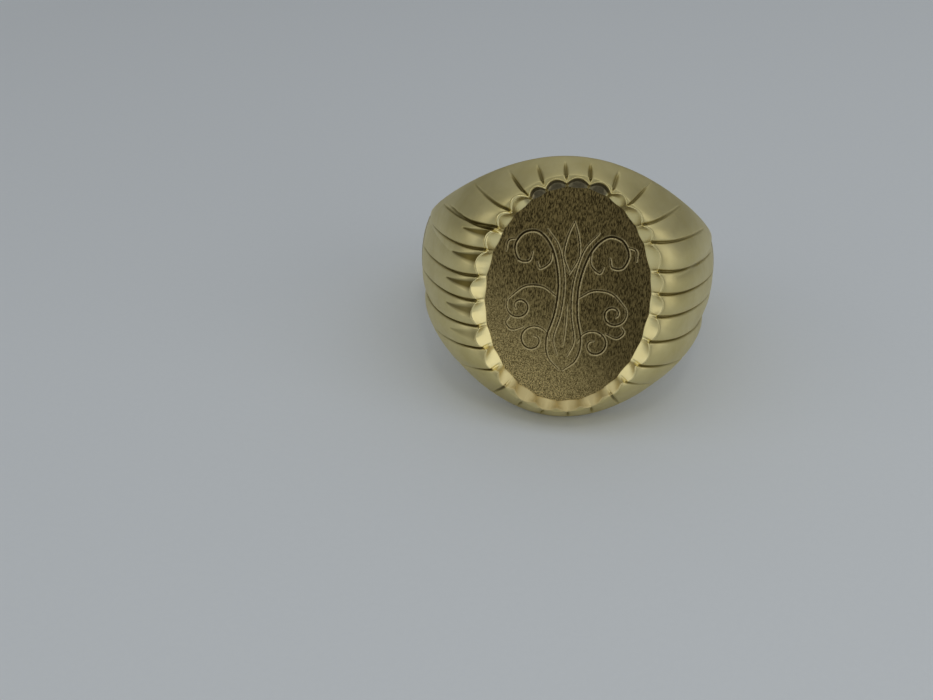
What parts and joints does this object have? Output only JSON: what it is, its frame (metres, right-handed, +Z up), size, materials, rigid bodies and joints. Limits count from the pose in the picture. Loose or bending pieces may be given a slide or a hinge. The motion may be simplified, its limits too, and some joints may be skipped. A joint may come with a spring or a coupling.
{
  "type": "signet ring",
  "caption": "Gold signet ring with a fluted oval head, scalloped bright-cut rim, matt engraved plate and plain half-round band.",
  "frame": {"origin": "centre of the underside of the box round the ring as it lies on its side on a table", "axes": "+X across the finger, signet faces -Y and leans back, +Z up from the table; the finger axis leans back from +Z"},
  "size_m": [0.0218, 0.025, 0.017],
  "materials": {
    "gold": "worn satin polish",
    "cut_gold": "bright cut, mirror polish",
    "matt_plate": "matt, finely brushed and grained, dulled with age",
    "solder": "polished hard solder"
  },
  "bodies": {
    "root": {"head_shell": "gold", "cut_rim": "cut_gold", "signet_plate": "matt_plate", "plate_solder": "solder", "finger_lining": "gold", "shank_band": "gold", "left_seam": "solder", "right_seam": "solder"}
  },
  "joints": []
}
